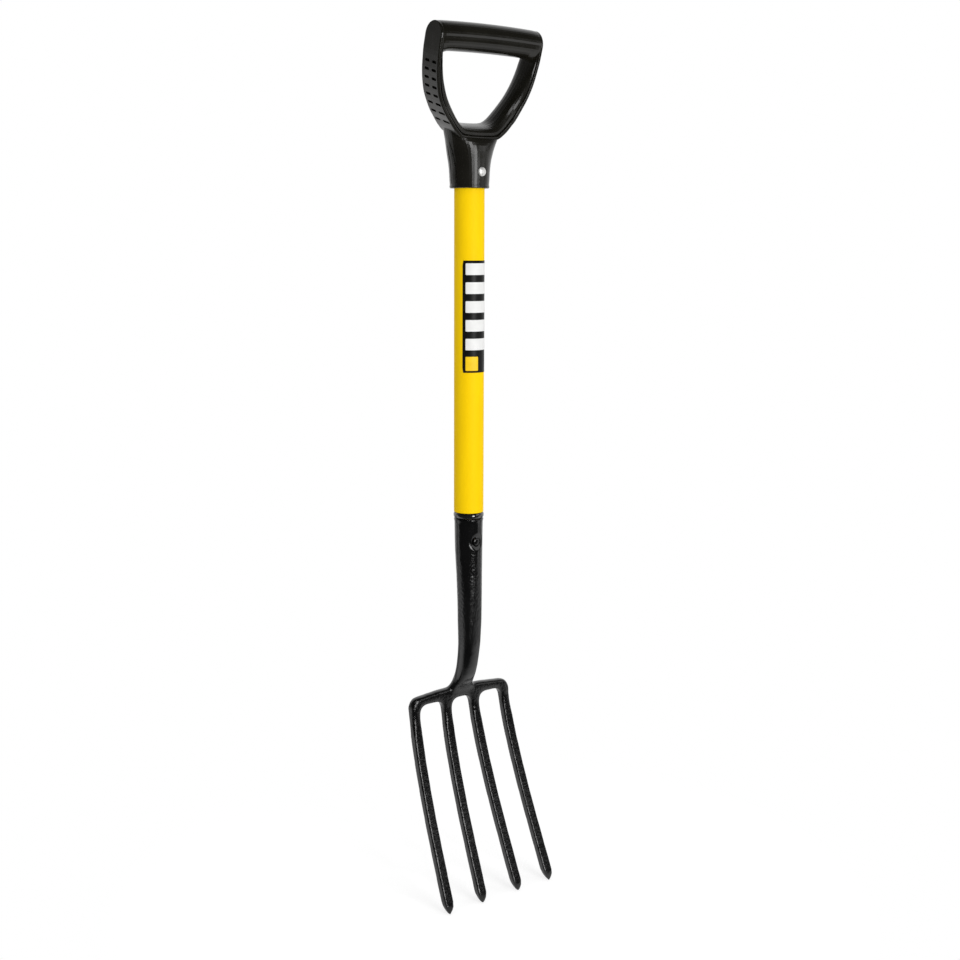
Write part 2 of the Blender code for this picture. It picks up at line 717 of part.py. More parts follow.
def slot_cutters():
    """Round-ended slots across each arm's outer face, in two columns, longest at the foot."""
    line = outer_outline()
    normals = outward(line)
    bm = bmesh.new()
    for row in range(SLOT_ROWS):
        along = SLOT_FIRST_HEIGHT + SLOT_PITCH * row
        rear = SLOT_LENGTH_AT_FOOT + (SLOT_LENGTH_AT_TOP - SLOT_LENGTH_AT_FOOT) * row / (SLOT_ROWS - 1)
        front = rear + 0.7 * foot_bulge(along)
        x = float(np.interp(along, line[:, 1], line[:, 0]))
        nx = float(np.interp(along, line[:, 1], normals[:, 0]))
        nv = float(np.interp(along, line[:, 1], normals[:, 1]))
        for depth, length in ((SLOT_FRONT_START - front / 2, front), (SLOT_REAR_START + rear / 2, rear)):
            section = rounded_rectangle(length / 2, SLOT_HEIGHT / 2, SLOT_HEIGHT / 2, 2)
            for side in (-1, 1):
                rings = []
                for out in (-SLOT_DEPTH, SLOT_DEPTH):
                    ring = []
                    for a, b in section:
                        across = x + nx * out - nv * b
                        ring.append(leaned(side * across, along + nv * out + nx * b, depth + a))
                    rings.append(ring[::side])
                skin(bm, rings)
    return object_from(bm, "slots")


def flute_cutters():
    """Two thin grooves down each side of the handle's socket."""
    # share of the socket's length, radius as a share of the socket's, share of the angle
    stops = ((0.08, 1.01, 1.0), (0.35, 1.045, 0.9), (0.59, 1.17, 0.65), (0.80, 1.39, 0.4))
    bm = bmesh.new()
    for side in (0.0, math.pi):
        for turn in (-1, 1):
            rings = []
            for share, spread, narrowing in stops:
                a = side + turn * FLUTE_ANGLE * narrowing
                outwards = Vector((math.cos(a), math.sin(a), 0.0))
                sideways = Vector((-math.sin(a), math.cos(a), 0.0))
                middle = outwards * spread * HANDLE_SOCKET_RADIUS
                middle.z = HANDLE_SOCKET_END + share * HANDLE_SOCKET_LENGTH
                ring = []
                for k in range(8):
                    t = 2.0 * math.pi * k / 8
                    ring.append(middle + sideways * FLUTE_RADIUS * math.cos(t) + outwards * FLUTE_RADIUS * math.sin(t))
                rings.append(ring)
            skin(bm, rings)
    return object_from(bm, "flutes")


def d_handle():
    handle = handle_socket()
    handle.name = "d_handle"
    combine(handle, strap(), "UNION")
    combine(handle, inner_loop(), "UNION")
    combine(handle, grip(), "UNION")
    bore_radius = SHAFT_OUTER_RADIUS + CLEARANCE
    lead = 2 * EDGE_BREAK
    bore = turned(
        "bore",
        (
            (0.0, HANDLE_SOCKET_END - 2 * lead),
            (bore_radius + 3 * lead, HANDLE_SOCKET_END - 2 * lead),
            (bore_radius, HANDLE_SOCKET_END + lead),
            (bore_radius, SHAFT_TOP + CLEARANCE),
            (0.0, SHAFT_TOP + CLEARANCE),
        ),
    )
    combine(handle, bore, "DIFFERENCE")
    cutter = rivet_cutter(
        HANDLE_RIVET_HEIGHT,
        HANDLE_RIVET_SEAT,
        HANDLE_RIVET_SEAT,
        HANDLE_RIVET_HEAD_RADIUS + SEAT_MARGIN,
        WASHER_RADIUS + SEAT_MARGIN,
        1.5 * HANDLE_SOCKET_RADIUS,
    )
    combine(handle, cutter, "DIFFERENCE")
    combine(handle, slot_cutters(), "DIFFERENCE")
    combine(handle, flute_cutters(), "DIFFERENCE")
    return handle


# Shaft and the pieces inside it


def shaft_tube():
    inner = SHAFT_OUTER_RADIUS - SHAFT_WALL
    outer = SHAFT_OUTER_RADIUS - EDGE_BREAK
    profile = (
        (inner, SHAFT_BOTTOM),
        (outer, SHAFT_BOTTOM),
        (SHAFT_OUTER_RADIUS, SHAFT_BOTTOM + EDGE_BREAK),
        (SHAFT_OUTER_RADIUS, SHAFT_TOP - EDGE_BREAK),
        (outer, SHAFT_TOP),
        (inner, SHAFT_TOP),
    )
    tube = turned("shaft_tube", profile, closed=True)
    combine(tube, cross_hole(HANDLE_RIVET_HEIGHT), "DIFFERENCE")
    return tube


def upper_plug():
    radius = SHAFT_OUTER_RADIUS - SHAFT_WALL - CLEARANCE
    bottom = HANDLE_RIVET_HEIGHT - PLUG_BELOW_RIVET
    top = HANDLE_RIVET_HEIGHT + PLUG_ABOVE_RIVET
    profile = (
        (0.0, bottom),
        (radius - WOOD_CHAMFER, bottom),
        (radius, bottom + WOOD_CHAMFER),
        (radius, top - WOOD_CHAMFER),
        (radius - WOOD_CHAMFER, top),
        (0.0, top),
    )
    plug = turned("upper_plug", profile)
    combine(plug, cross_hole(HANDLE_RIVET_HEIGHT), "DIFFERENCE")
    return plug


def lower_dowel():
    """Stepped dowel: its shoulder rests on the steel socket's mouth."""
    in_tube = SHAFT_OUTER_RADIUS - SHAFT_WALL - CLEARANCE
    shoulder = HEAD_HEIGHT + CLEARANCE
    top = SHAFT_BOTTOM + DOWEL_IN_TUBE
    profile = (
        (0.0, DOWEL_FOOT),
        (DOWEL_FOOT_RADIUS, DOWEL_FOOT),
        (DOWEL_MOUTH_RADIUS, HEAD_HEIGHT - EDGE_BREAK),
        (DOWEL_MOUTH_RADIUS, shoulder),
        (in_tube, shoulder),
        (in_tube, top - WOOD_CHAMFER),
        (in_tube - WOOD_CHAMFER, top),
        (0.0, top),
    )
    dowel = turned("lower_dowel", profile)
    combine(dowel, cross_hole(HEAD_RIVET_HEIGHT), "DIFFERENCE")
    return dowel


def collar_ring():
    """Round-edged ring that covers the joint between tube and socket."""
    inner = SHAFT_OUTER_RADIUS - SHAFT_WALL
    bottom = HEAD_HEIGHT + CLEARANCE
    profile = [(inner, bottom)]
    for k in range(9):
        angle = (k / 8 - 0.5) * math.pi
        radius = COLLAR_OUTER_RADIUS - COLLAR_BEAD * (1.0 - math.cos(angle))
        profile.append((radius, bottom + COLLAR_HEIGHT / 2 * (1.0 + math.sin(angle))))
    profile.append((inner, bottom + COLLAR_HEIGHT))
    return turned("collar_ring", profile, closed=True)


def rivet_washer():
    inner = RIVET_SHANK_RADIUS + CLEARANCE
    front = HANDLE_RIVET_SEAT + CLEARANCE
    back = front + WASHER_THICKNESS
    profile = ((inner, front), (WASHER_RADIUS, front), (WASHER_RADIUS, back), (inner, back))
    return aim_back(turned("handle_rivet_washer", profile, 32, closed=True), HANDLE_RIVET_HEIGHT)


def handle_rivet():
    front = HANDLE_RIVET_SEAT + CLEARANCE
    back = front + WASHER_THICKNESS + CLEARANCE
    return rivet(
        "handle_rivet",
        HANDLE_RIVET_HEIGHT,
        front,
        back,
        HANDLE_RIVET_HEAD_RADIUS,
        HANDLE_RIVET_HEAD_RISE,
        HANDLE_RIVET_TAIL_RADIUS,
    )


def head_rivet():
    return rivet(
        "head_rivet",
        HEAD_RIVET_HEIGHT,
        STEEL_SOCKET_RADIUS - HEAD_RIVET_FRONT_SEAT_DEPTH + CLEARANCE,
        STEEL_SOCKET_RADIUS - HEAD_RIVET_BACK_SEAT_DEPTH + CLEARANCE,
        HEAD_RIVET_HEAD_RADIUS,
        HEAD_RIVET_HEAD_RISE,
        HEAD_RIVET_HEAD_RADIUS,
    )


def centre_on_origin(nodes):
    """Moves the fork along Y so that its box is centred on the origin."""
    low = min(vertex.co.y for node in nodes for vertex in node.data.vertices)
    high = max(vertex.co.y for node in nodes for vertex in node.data.vertices)
    for node in nodes:
        node.data.transform(Matrix.Translation((0.0, -(low + high) / 2, 0.0)))


def main():
    clear_scene()
    black_plastic = make_material("black_plastic", (0.020, 0.019, 0.016), 0.0, 0.42)
    yellow_coating = make_material("yellow_coating", (0.95, 0.62, 0.01), 0.0, 0.32)
    black_lacquer = make_material("black_lacquer", (0.018, 0.018, 0.018), 0.3, 0.28)
    black_bead = make_material("black_bead", (0.010, 0.010, 0.010), 0.0, 0.25)
    bright_steel = make_material("bright_steel", (0.78, 0.78, 0.76), 1.0, 0.30)
    pale_wood = make_material("pale_wood", (0.60, 0.43, 0.25), 0.0, 0.60)
    pieces = (
        (d_handle(), black_plastic),
        (shaft_tube(), yellow_coating),
        (upper_plug(), pale_wood),
        (lower_dowel(), pale_wood),
        (collar_ring(), black_bead),
        (fork_head(), black_lacquer),
        (handle_rivet(), bright_steel),
        (rivet_washer(), bright_steel),
        (head_rivet(), bright_steel),
    )
    for node, material in pieces:
        finish(node, material)
    centre_on_origin([node for node, _ in pieces])


main()
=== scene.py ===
import math

import bmesh
import bpy
import numpy
from mathutils import Matrix, Vector


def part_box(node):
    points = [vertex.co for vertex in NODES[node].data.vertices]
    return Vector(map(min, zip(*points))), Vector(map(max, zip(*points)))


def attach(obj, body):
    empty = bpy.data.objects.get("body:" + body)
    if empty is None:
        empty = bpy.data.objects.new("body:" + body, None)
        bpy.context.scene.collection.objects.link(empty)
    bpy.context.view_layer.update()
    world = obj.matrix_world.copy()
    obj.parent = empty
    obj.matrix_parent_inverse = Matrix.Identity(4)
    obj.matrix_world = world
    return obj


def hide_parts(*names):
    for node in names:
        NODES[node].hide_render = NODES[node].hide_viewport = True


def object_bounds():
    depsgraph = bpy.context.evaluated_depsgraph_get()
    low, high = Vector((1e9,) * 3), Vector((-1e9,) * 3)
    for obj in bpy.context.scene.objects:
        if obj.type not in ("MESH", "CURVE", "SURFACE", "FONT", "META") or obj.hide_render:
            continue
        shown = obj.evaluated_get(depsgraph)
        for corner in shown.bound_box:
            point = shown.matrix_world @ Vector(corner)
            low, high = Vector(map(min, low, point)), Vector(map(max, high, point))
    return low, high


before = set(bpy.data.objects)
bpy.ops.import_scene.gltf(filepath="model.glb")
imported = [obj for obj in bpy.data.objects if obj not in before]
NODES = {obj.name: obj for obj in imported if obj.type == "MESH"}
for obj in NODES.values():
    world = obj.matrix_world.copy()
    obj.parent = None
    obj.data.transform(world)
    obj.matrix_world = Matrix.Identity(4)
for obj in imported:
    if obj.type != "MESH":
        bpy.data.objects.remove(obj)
CAD_LOW, CAD_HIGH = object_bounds()

# The shaft's axis, and the radius of its outside
TUBE_LOW, TUBE_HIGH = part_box("shaft_tube")
AXIS_X = (TUBE_LOW.x + TUBE_HIGH.x) / 2
AXIS_Y = (TUBE_LOW.y + TUBE_HIGH.y) / 2
TUBE_RADIUS = (TUBE_HIGH.x - TUBE_LOW.x) / 2

# The front end of the rivet in the steel socket
RIVET_LOW, RIVET_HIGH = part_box("head_rivet")
RIVET_SEAT = Vector((AXIS_X, RIVET_LOW.y, (RIVET_LOW.z + RIVET_HIGH.z) / 2))


# Objects

def new_object(name, data):
    thing = bpy.data.objects.new(name, data)
    bpy.context.scene.collection.objects.link(thing)
    return thing


def mesh_object(name, shape, material):
    """An object made from a bmesh, which is freed."""
    data = bpy.data.meshes.new(name)
    shape.to_mesh(data)
    shape.free()
    data.materials.append(material)
    return new_object(name, data)


# Camera, at the photograph's viewing angle: the eye's place from the shaft's axis and the floor

EYE = Vector((AXIS_X - 0.9369, AXIS_Y - 1.2298, 0.72))
EYE_YAW = 0.6589
EYE_PITCH = 0.1613
EYE_ROLL = 0.0036
FOCAL_PIXELS = 1448.7
FRAME_PIXELS = 960.0
SENSOR_WIDTH = 36.0
DOWN_SHIFT = -0.0104
NEAREST_SEEN = 0.05
FARTHEST_SEEN = 50.0

# Level directions: away from the camera, and to its right
VIEW_LEVEL = Vector((math.sin(EYE_YAW), math.cos(EYE_YAW), 0.0))
VIEW_RIGHT = Vector((math.cos(EYE_YAW), -math.sin(EYE_YAW), 0.0))


def make_camera():
    data = bpy.data.cameras.new("camera")
    data.sensor_width = SENSOR_WIDTH
    data.lens = FOCAL_PIXELS * SENSOR_WIDTH / FRAME_PIXELS
    data.shift_y = DOWN_SHIFT
    data.clip_start = NEAREST_SEEN
    data.clip_end = FARTHEST_SEEN
    camera = new_object("camera", data)
    up = VIEW_LEVEL * math.sin(EYE_PITCH) + Vector((0.0, 0.0, math.cos(EYE_PITCH)))
    side = VIEW_RIGHT * math.cos(EYE_ROLL) + up * math.sin(EYE_ROLL)
    top = up * math.cos(EYE_ROLL) - VIEW_RIGHT * math.sin(EYE_ROLL)
    back = side.cross(top)
    turn = Matrix((side, top, back)).transposed().to_4x4()
    camera.matrix_world = Matrix.Translation(EYE) @ turn
    bpy.context.scene.camera = camera


make_camera()


# Nodes

def feed(tree, node, inputs):
    """Sets each input of a node to a value, or links it to another node's output."""
    for key, value in inputs.items():
        if isinstance(value, bpy.types.NodeSocket):
            tree.links.new(value, node.inputs[key])
        else:
            node.inputs[key].default_value = value


def add_node(tree, kind, inputs, operation=None):
    node = tree.nodes.new(kind)
    if operation is not None:
        node.operation = operation
    feed(tree, node, inputs)
    return node


def coordinates(tree, scale=(1.0, 1.0, 1.0)):
    """The object's own coordinates in metres, stretched by a factor along each axis."""
    source = add_node(tree, "ShaderNodeTexCoord", {})
    mapping = add_node(
        tree, "ShaderNodeMapping", {"Vector": source.outputs["Object"], "Scale": scale},
    )
    return mapping.outputs["Vector"]


def noise(tree, vector, scale, detail, roughness=0.5):
    node = add_node(
        tree, "ShaderNodeTexNoise",
        {"Vector": vector, "Scale": scale, "Detail": detail, "Roughness": roughness},
    )
    return node.outputs["Fac"]


def ramp(tree, value, stops):
    """A number or colour for a value. Each stop is a value and what belongs to it."""
    node = add_node(tree, "ShaderNodeValToRGB", {"Fac": value})
    elements = node.color_ramp.elements
    while len(elements) < len(stops):
        elements.new(0.5)
    for element, (place, colour) in zip(elements, stops):
        element.position = place
        element.color = (*colour, 1.0) if isinstance(colour, tuple) else (colour,) * 3 + (1.0,)
    return node.outputs["Color"]


def math_node(tree, operation, *values):
    node = add_node(tree, "ShaderNodeMath", dict(enumerate(values)), operation)
    return node.outputs["Value"]


def product(tree, first, second):
    return math_node(tree, "MULTIPLY", first, second)


def bump(tree, height, strength, distance, under=None):
    """The normal of a surface with bumps, on top of another normal if one is given."""
    inputs = {"Height": height, "Strength": strength, "Distance": distance}
    if under is not None:
        inputs["Normal"] = under
    return add_node(tree, "ShaderNodeBump", inputs).outputs["Normal"]


def upright_part(tree, vector):
    """How high a place lies, or how far a direction points upwards."""
    return add_node(tree, "ShaderNodeSeparateXYZ", {"Vector": vector}).outputs["Z"]


def surface(tree, output):
    """The position or the normal of a point of the surface, in the room."""
    return add_node(tree, "ShaderNodeNewGeometry", {}).outputs[output]


def distance_from(tree, place):
    """How far a point of the surface lies from a place in the room."""
    inputs = {0: surface(tree, "Position"), 1: place}
    return add_node(tree, "ShaderNodeVectorMath", inputs, "DISTANCE").outputs["Value"]


def away_from_camera(tree, vector, scale):
    """How far a vector reaches away from the camera: 0 at -1, and the scale at 0."""
    inputs = {0: vector, 1: VIEW_LEVEL}
    reach = add_node(tree, "ShaderNodeVectorMath", inputs, "DOT_PRODUCT").outputs["Value"]
    return math_node(tree, "MULTIPLY_ADD", reach, scale, scale)


def mixed(tree, share, first, second):
    """The first shader where the share is 0, and the second where it is 1."""
    inputs = {"Fac": share, 1: first, 2: second}
    return add_node(tree, "ShaderNodeMixShader", inputs).outputs["Shader"]


# Materials

def new_material(name):
    material = bpy.data.materials.new(name)
    material.use_nodes = True
    return material, material.node_tree


def dressed(material, looks):
    """The material, with its looks fed to its shader."""
    tree = material.node_tree
    feed(tree, tree.nodes["Principled BSDF"], looks)
    return material


# The share of its roughness that the plastic keeps, by height. Hands have polished the grip.
ROUGHNESS_KEPT = ((0.873, 1.0), (0.907, 0.60))


def black_plastic():
    """Moulded black plastic with a fine grain and soft flow marks, and with a polished grip."""
    material, tree = new_material("moulded_black_plastic")
    place = coordinates(tree)
    grain = noise(tree, place, scale=1500.0, detail=2.0)
    waves = noise(tree, place, scale=90.0, detail=2.0)
    cloud = noise(tree, place, scale=34.0, detail=4.0)
    low, high = (0.0065, 0.0060, 0.0042), (0.0110, 0.0102, 0.0074)
    plain = ramp(tree, cloud, ((0.25, 0.21), (0.8, 0.29)))
    kept = ramp(tree, upright_part(tree, place), ROUGHNESS_KEPT)
    soft = bump(tree, waves, strength=0.10, distance=0.0010)
    return dressed(material, {
        "Base Color": ramp(tree, cloud, ((0.3, low), (0.75, high))),
        "Roughness": product(tree, plain, kept),
        "IOR": 1.42,
        "Normal": bump(tree, grain, strength=0.07, distance=0.0001, under=soft),
    })


def yellow_coating():
    """Smooth yellow coating with faint orange peel."""
    material, tree = new_material("yellow_coating")
    peel = noise(tree, coordinates(tree), scale=420.0, detail=2.0)
    cloud = noise(tree, coordinates(tree, (1.0, 1.0, 0.25)), scale=60.0, detail=4.0)
    low, high = (0.92, 0.590, 0.0010), (0.97, 0.640, 0.0015)
    return dressed(material, {
        "Base Color": ramp(tree, cloud, ((0.25, low), (0.75, high))),
        "Roughness": ramp(tree, cloud, ((0.3, 0.46), (0.7, 0.54))),
        "IOR": 1.15,
        "Normal": bump(tree, peel, strength=0.12, distance=0.0001),
    })


# Heights between which the foot of the fork head's neck is smooth
SMOOTH_FROM = 0.236
SMOOTH_TO = 0.268

# By height: the roughness added on the neck, the pebble below and above the smooth part, and
# how much of the forging's waves is left
NECK_DULLED = ((SMOOTH_TO, 0.0), (SMOOTH_TO + 0.020, 0.10), (0.345, 0.08), (0.375, 0.0))
PEBBLE_BELOW = ((SMOOTH_FROM - 0.010, 0.5), (SMOOTH_FROM, 0.1))
PEBBLE_ABOVE = ((SMOOTH_TO, 0.1), (SMOOTH_TO + 0.012, 0.75), (0.350, 0.70), (0.385, 0.25))
WAVES_LEFT = ((SMOOTH_TO, 1.0), (SMOOTH_TO + 0.020, 0.35))

# How much of the pebble is left: by how far the surface looks upwards, and by the distance from
# the rivet
PEBBLE_ON_TOPS = ((0.55, 1.0), (0.85, 0.15))
PEBBLE_ROUND_RIVET = ((0.009, 0.1), (0.015, 1.0))


def black_lacquer():
    """Glossy black lacquer over a forged surface, pebbled but for the foot of the neck."""
    material, tree = new_material("black_lacquer")
    place = coordinates(tree)
    pebble = noise(tree, place, scale=340.0, detail=3.0, roughness=0.6)
    forged = noise(tree, place, scale=150.0, detail=4.0)
    cloud = noise(tree, place, scale=45.0, detail=4.0)
    low, high = (0.0022, 0.0022, 0.0023), (0.0055, 0.0055, 0.0055)
    height = upright_part(tree, place)
    shine = ramp(tree, forged, ((0.3, 0.07), (0.75, 0.15)))
    round_rivet = ramp(tree, distance_from(tree, RIVET_SEAT), PEBBLE_ROUND_RIVET)
    above = product(tree, ramp(tree, height, PEBBLE_ABOVE), round_rivet)
    pebbled = math_node(tree, "MAXIMUM", ramp(tree, height, PEBBLE_BELOW), above)
    worn = ramp(tree, upright_part(tree, surface(tree, "Normal")), PEBBLE_ON_TOPS)
    pebbles = product(tree, pebble, product(tree, pebbled, worn))
    waves = product(tree, forged, ramp(tree, height, WAVES_LEFT))
    rough = bump(tree, waves, strength=0.25, distance=0.0008)
    return dressed(material, {
        "Base Color": ramp(tree, cloud, ((0.3, low), (0.8, high))),
        "Roughness": math_node(tree, "ADD", shine, ramp(tree, height, NECK_DULLED)),
        "Normal": bump(tree, pebbles, strength=0.9, distance=0.0010, under=rough),
    })


def black_bead():
    """Glossy black plastic of the collar."""
    material, tree = new_material("black_bead")
    cloud = noise(tree, coordinates(tree), scale=120.0, detail=3.0)
    low, high = (0.0045, 0.0045, 0.0045), (0.0080, 0.0080, 0.0078)
    return dressed(material, {
        "Base Color": ramp(tree, cloud, ((0.3, low), (0.8, high))),
        "Roughness": ramp(tree, cloud, ((0.3, 0.06), (0.8, 0.10))),
        "IOR": 2.0,
        "Normal": bump(tree, cloud, strength=0.04, distance=0.0002),
    })


def bright_steel():
    """Bright plated steel with fine scratches."""
    material, tree = new_material("bright_steel")
    scratch = noise(tree, coordinates(tree, (1.0, 1.0, 9.0)), scale=900.0, detail=2.0)
    cloud = noise(tree, coordinates(tree), scale=300.0, detail=3.0)
    low, high = (0.74, 0.74, 0.72), (0.86, 0.86, 0.84)
    return dressed(material, {
        "Base Color": ramp(tree, cloud, ((0.3, low), (0.8, high))),
        "Metallic": 0.6,
        "Roughness": ramp(tree, cloud, ((0.3, 0.34), (0.8, 0.46))),
        "Normal": bump(tree, scratch, strength=0.15, distance=0.0001),
    })


def pale_wood():
    """Pale turned wood with its grain along the shaft."""
    material, tree = new_material("pale_wood")
    grain = noise(tree, coordinates(tree, (1.0, 1.0, 0.06)), scale=420.0, detail=4.0)
    low, high = (0.42, 0.27, 0.14), (0.62, 0.44, 0.26)
    return dressed(material, {
        "Base Color": ramp(tree, grain, ((0.3, low), (0.7, high))),
        "Roughness": 0.7,
        "Normal": bump(tree, grain, strength=0.3, distance=0.0003),
    })


PLASTIC = black_plastic()
COATING = yellow_coating()
LACQUER = black_lacquer()
BEAD = black_bead()
STEEL = bright_steel()
WOOD = pale_wood()

MATERIAL_OF_NODE = {
    "d_handle": PLASTIC,
    "handle_rivet": STEEL,
    "handle_rivet_washer": STEEL,
    "shaft_tube": COATING,
    "upper_plug": WOOD,
    "lower_dowel": WOOD,
    "collar_ring": BEAD,
    "fork_head": LACQUER,
    "head_rivet": LACQUER,
}

for name, material in MATERIAL_OF_NODE.items():
    NODES[name].data.materials.clear()
    NODES[name].data.materials.append(material)


# A finer copy of the forged head, with its corners flowing into each other

HEAD_VOXEL = 0.0011

# How far a point moves towards the middle of its neighbours in one pass
EASING = 0.5

# Heights between which the easing of the crossbar grows and fades, and that of the tips fades
BAR_GROWS = (0.178, 0.196)
BAR_FADES = (0.262, 0.290)
BAR_PASSES = 18
TIPS_FADE = (0.003, 0.014)
TIP_PASSES = 6

# The dimple round the rivet, flat in the middle and soft at its rim
DENT_RADIUS = 0.0097
DENT_DEPTH = 0.0014
DENT_FLATNESS = 4
DENT_SOFTNESS = 1.5


def remeshed(node, name, voxel, material):
    """A finer copy of a node, even enough for its corners to be eased."""
    piece = new_object(name, NODES[node].data.copy())
    grid = piece.modifiers.new("grid", "REMESH")
    grid.mode = "VOXEL"
    grid.voxel_size = voxel
    grid.use_smooth_shade = True
    bpy.context.view_layer.update()
    depsgraph = bpy.context.evaluated_depsgraph_get()
    fine = bpy.data.meshes.new_from_object(piece.evaluated_get(depsgraph))
    piece.modifiers.clear()
    piece.data = fine
    fine.name = name
    fine.materials.clear()
    fine.materials.append(material)
    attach(piece, "root")
    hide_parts(node)
    return piece


def points_of(mesh):
    places = numpy.empty(len(mesh.vertices) * 3)
    mesh.vertices.foreach_get("co", places)
    return places.reshape(-1, 3)


def eased(mesh, places, weight, passes):
    """Each point drawn towards the middle of its neighbours, as strongly as its weight says."""
    ends = numpy.empty(len(mesh.edges) * 2, dtype=numpy.int64)
    mesh.edges.foreach_get("vertices", ends)
    first, second = ends.reshape(-1, 2).T
    count = numpy.bincount(ends, minlength=len(places)).astype(float)
    for _ in range(passes):
        middle = numpy.empty_like(places)
        for axis in range(3):
            along = places[:, axis]
            total = numpy.bincount(first, weights=along[second], minlength=len(places))
            total += numpy.bincount(second, weights=along[first], minlength=len(places))
            middle[:, axis] = total / count
        places = places + EASING * weight[:, None] * (middle - places)
    return places


def step_between(values, start, end):
    """A smooth step from 0 to 1."""
    share = numpy.clip((values - start) / (end - start), 0.0, 1.0)
    return share * share * (3.0 - 2.0 * share)


def kept_inside(places, node):
    low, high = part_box(node)
    return numpy.clip(places, numpy.array(low), numpy.array(high))


def make_head():
    piece = remeshed("fork_head", "fork_head_forged", HEAD_VOXEL, LACQUER)
    mesh = piece.data
    places = points_of(mesh)
    height = places[:, 2]
    bar = step_between(height, *BAR_GROWS) * (1.0 - step_between(height, *BAR_FADES))
    places = eased(mesh, places, bar, BAR_PASSES)
    places = eased(mesh, places, 1.0 - step_between(height, *TIPS_FADE), TIP_PASSES)
    near = numpy.hypot(places[:, 0] - RIVET_SEAT.x, places[:, 2] - RIVET_SEAT.z)
    in_front = places[:, 1] < AXIS_Y
    bowl = numpy.clip(1.0 - (near / DENT_RADIUS) ** DENT_FLATNESS, 0.0, 1.0)
    places[:, 1] += DENT_DEPTH * bowl ** DENT_SOFTNESS * in_front
    mesh.vertices.foreach_set("co", kept_inside(places, "fork_head").ravel())
    mesh.update()


make_head()


# Label panel wrapped round the shaft: plain bars on black, with one small yellow block

LABEL_FOOT = 0.5752
LABEL_TOP = 0.6928
LABEL_HALF_SWEEP = math.radians(62.5)
LABEL_LIFT = 0.00012
LABEL_THICKNESS = 0.00012
LABEL_CORNER = 0.0008

PRINT_GAP = 0.00004
PRINT_LIFT = LABEL_LIFT + LABEL_THICKNESS + PRINT_GAP
PRINT_HALF_SWEEP = math.radians(51.0)

# Each bar has its share of an equal part of the height between foot and top, and then a gap
BARS = 5
BAR_SHARE = 0.62
BAR_FOOT = 0.5990
BAR_TOP = 0.6975

BLOCK_FOOT = 0.5772
BLOCK_TOP = 0.5922
BLOCK_END = math.radians(-1.5)
BLOCK_CORNER = 0.0006

# How finely a patch is divided
PATCH_ROWS = 24
FEWEST_COLUMNS = 6
COLUMN_DEGREES = 3.0


def label_material():
    material, tree = new_material("printed_label")
    cloud = noise(tree, coordinates(tree), scale=90.0, detail=4.0)
    low, high = (0.0050, 0.0050, 0.0046), (0.0085, 0.0085, 0.0080)
    return dressed(material, {
        "Base Color": ramp(tree, cloud, ((0.3, low), (0.8, high))),
        "Roughness": ramp(tree, cloud, ((0.3, 0.36), (0.8, 0.46))),
        "IOR": 1.25,
        "Normal": bump(tree, cloud, strength=0.1, distance=0.0001),
    })


def ink(name, low, high):
    material, tree = new_material(name)
    cloud = noise(tree, coordinates(tree), scale=110.0, detail=4.0)
    return dressed(material, {
        "Base Color": ramp(tree, cloud, ((0.3, low), (0.8, high))),
        "Roughness": 0.50,
        "IOR": 1.38,
        "Normal": bump(tree, cloud, strength=0.1, distance=0.0001),
    })


def corner_inset(from_end, corner):
    """How far a patch's side draws in near its end, for a round corner."""
    if from_end >= corner:
        return 0.0
    return corner - math.sqrt(max(0.0, corner ** 2 - (corner - from_end) ** 2))


def wrapped_patch(name, foot, top, start, end, lift, material, corner):
    """A thin patch on the shaft between two heights and two angles, with its corners cut round."""
    columns = max(FEWEST_COLUMNS, int(math.degrees(end - start) / COLUMN_DEGREES))
    radius = TUBE_RADIUS + lift
    shape = bmesh.new()
    layers = []
    for reach in (radius, radius + LABEL_THICKNESS):
        grid = []
        for row in range(PATCH_ROWS + 1):
            height = foot + (top - foot) * row / PATCH_ROWS
            trim = corner_inset(min(height - foot, top - height), corner) / TUBE_RADIUS
            line = []
            for column in range(columns + 1):
                share = column / columns
                angle = start + trim + (end - start - 2.0 * trim) * share
                line.append(shape.verts.new((
                    AXIS_X + reach * math.sin(angle),
                    AXIS_Y - reach * math.cos(angle),
                    height,
                )))
            grid.append(line)
        layers.append(grid)
    inner, outer = layers
    for row in range(PATCH_ROWS):
        for column in range(columns):
            shape.faces.new((
                outer[row][column], outer[row][column + 1],
                outer[row + 1][column + 1], outer[row + 1][column],
            ))
            shape.faces.new((
                inner[row][column], inner[row + 1][column],
                inner[row + 1][column + 1], inner[row][column + 1],
            ))
    rim = (
        [(0, column) for column in range(columns + 1)]
        + [(row, columns) for row in range(1, PATCH_ROWS + 1)]
        + [(PATCH_ROWS, column) for column in range(columns - 1, -1, -1)]
        + [(row, 0) for row in range(PATCH_ROWS - 1, 0, -1)]
    )
    for here, there in zip(rim, rim[1:] + rim[:1]):
        shape.faces.new((
            inner[here[0]][here[1]], inner[there[0]][there[1]],
            outer[there[0]][there[1]], outer[here[0]][here[1]],
        ))
    bmesh.ops.recalc_face_normals(shape, faces=shape.faces)
    piece = mesh_object(name, shape, material)
    for face in piece.data.polygons:
        face.use_smooth = True
    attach(piece, "root")


